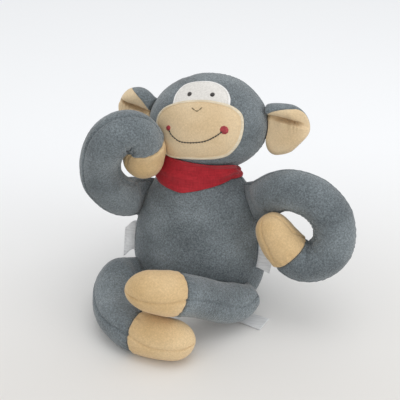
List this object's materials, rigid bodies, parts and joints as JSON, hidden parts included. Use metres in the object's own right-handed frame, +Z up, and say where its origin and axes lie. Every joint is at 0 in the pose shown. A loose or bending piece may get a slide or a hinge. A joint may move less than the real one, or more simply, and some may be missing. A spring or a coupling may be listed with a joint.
{
  "type": "plush monkey",
  "caption": "Seated plush monkey with curled tube arms, crossed legs, velour hands, feet and face patches, and a plain neckerchief.",
  "frame": {"origin": "middle of the flat under the torso that the toy sits on", "axes": "+Z up, the toy faces -Y, its left is +X"},
  "size_m": [0.2371, 0.1966, 0.1987],
  "materials": {
    "grey_plush": "short blue-grey pile",
    "sand_velour": "smooth sand velour",
    "white_velour": "smooth white velour",
    "red_cotton": "plain woven red cotton",
    "label_satin": "blank white satin tape",
    "stuffing_fibre": "loose white polyester fibre"
  },
  "bodies": {
    "torso": {"torso_front_panel": "grey_plush", "torso_back_panel": "grey_plush", "torso_stuffing": "stuffing_fibre", "neckerchief": "red_cotton", "right_side_label": "label_satin", "left_side_label": "label_satin", "floor_label": "label_satin"},
    "head": {"head_front_panel": "grey_plush", "head_back_panel": "grey_plush", "head_stuffing": "stuffing_fibre", "muzzle_patch": "sand_velour", "brow_patch": "white_velour"},
    "right_ear": {"right_ear_back": "grey_plush", "right_ear_lining": "sand_velour"},
    "left_ear": {"left_ear_back": "grey_plush", "left_ear_lining": "sand_velour"},
    "right_arm": {"right_arm_front_panel": "grey_plush", "right_arm_back_panel": "grey_plush", "right_hand_front_panel": "sand_velour", "right_hand_back_panel": "sand_velour", "right_arm_stuffing": "stuffing_fibre"},
    "left_arm": {"left_arm_front_panel": "grey_plush", "left_arm_back_panel": "grey_plush", "left_hand_front_panel": "sand_velour", "left_hand_back_panel": "sand_velour", "left_arm_stuffing": "stuffing_fibre"},
    "right_leg": {"right_leg_front_panel": "grey_plush", "right_leg_back_panel": "grey_plush", "right_foot_front_panel": "sand_velour", "right_foot_back_panel": "sand_velour", "right_leg_stuffing": "stuffing_fibre"},
    "left_leg": {"left_leg_front_panel": "grey_plush", "left_leg_back_panel": "grey_plush", "left_foot_front_panel": "sand_velour", "left_foot_back_panel": "sand_velour", "left_leg_stuffing": "stuffing_fibre"}
  },
  "joints": [
    {"name": "neck_turn", "type": "hinge", "parent": "torso", "child": "head", "pos_m": [0.0005, 0.0275, 0.1192], "axis": [-0.07, 0.224, 0.9721], "range_deg": [-20, 0], "stiffness_Nm_per_rad": 0.1},
    {"name": "right_ear_fold", "type": "hinge", "parent": "head", "child": "right_ear", "pos_m": [-0.0548, 0.0407, 0.1584], "axis": [-0.07, 0.224, 0.9721], "range_deg": [-25, 25], "stiffness_Nm_per_rad": 0.003},
    {"name": "left_ear_fold", "type": "hinge", "parent": "head", "child": "left_ear", "pos_m": [0.051, 0.0399, 0.1549], "axis": [-0.07, 0.224, 0.9721], "range_deg": [-25, 25], "stiffness_Nm_per_rad": 0.003},
    {"name": "right_shoulder", "type": "hinge", "parent": "torso", "child": "right_arm", "pos_m": [-0.0576, 0.0124, 0.0837], "axis": [-0.2809, -0.3879, -0.8778], "range_deg": [0, 30], "stiffness_Nm_per_rad": 0.08},
    {"name": "left_shoulder", "type": "hinge", "parent": "torso", "child": "left_arm", "pos_m": [0.0453, 0.014, 0.0907], "axis": [-0.41, 0.378, 0.83], "range_deg": [-10, 40], "stiffness_Nm_per_rad": 0.08},
    {"name": "right_hip", "type": "hinge", "parent": "torso", "child": "right_leg", "pos_m": [-0.0594, -0.0117, 0.0302], "axis": [0, 0, -1], "range_deg": [0, 30], "stiffness_Nm_per_rad": 0.08},
    {"name": "left_hip", "type": "hinge", "parent": "torso", "child": "left_leg", "pos_m": [0.0551, -0.0099, 0.038], "axis": [-0.4, 0.1, 0.911], "range_deg": [0, 30], "stiffness_Nm_per_rad": 0.08}
  ]
}
